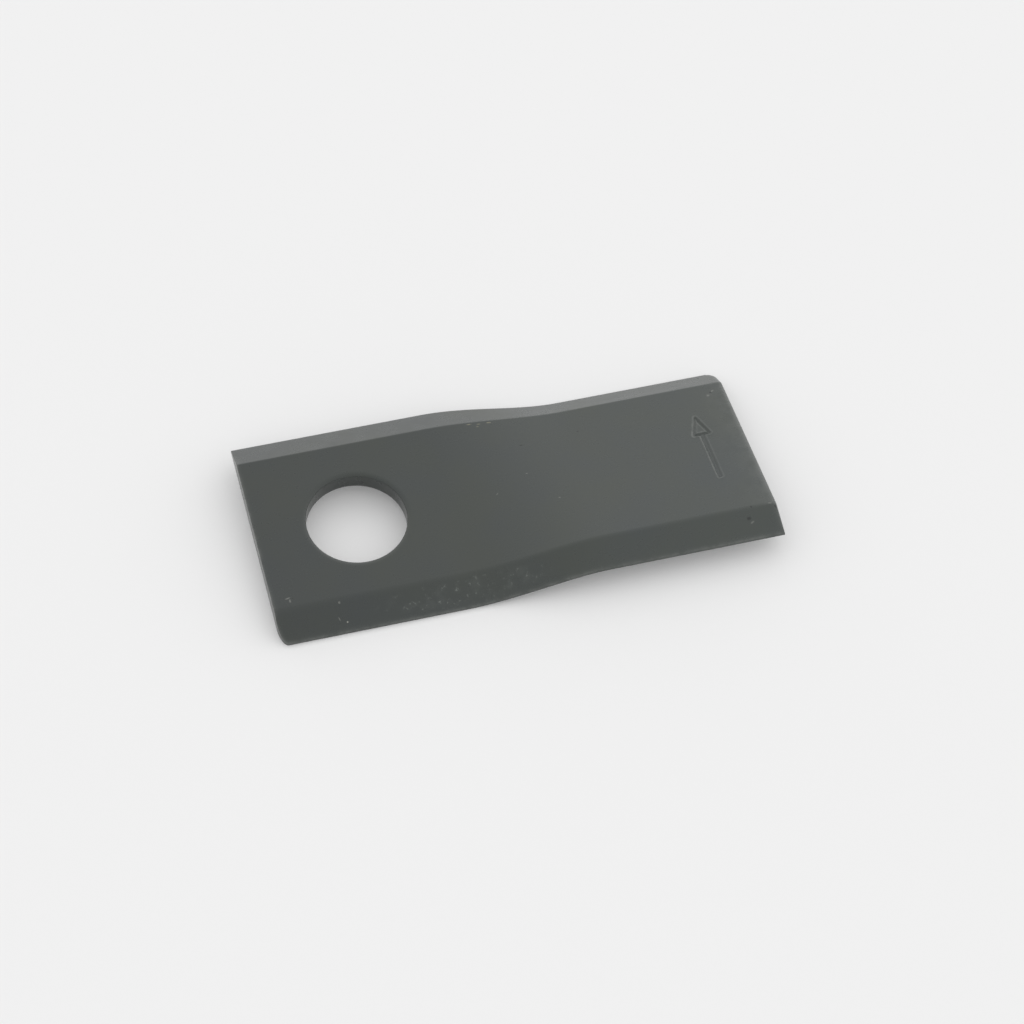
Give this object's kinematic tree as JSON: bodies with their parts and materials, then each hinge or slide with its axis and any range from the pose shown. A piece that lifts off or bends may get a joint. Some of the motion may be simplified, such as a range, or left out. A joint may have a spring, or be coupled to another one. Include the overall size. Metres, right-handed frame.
{
  "type": "rotary mower blade",
  "caption": "Twisted flat steel blade for a disc or drum mower, with a pivot bore at one end and a bevel ground along both long edges.",
  "frame": {"origin": "centre of the pivot bore, half way through the plate", "axes": "+X along the blade from the bore to the tip, +Y to the leading edge, +Z along the bore, out of the bevelled upper face"},
  "size_m": [0.106, 0.0481, 0.0116],
  "materials": {
    "paint": "thin dark grey-green satin paint on spring steel, with small chips along the bevels"
  },
  "bodies": {
    "root": {"blade": "paint"}
  },
  "joints": []
}
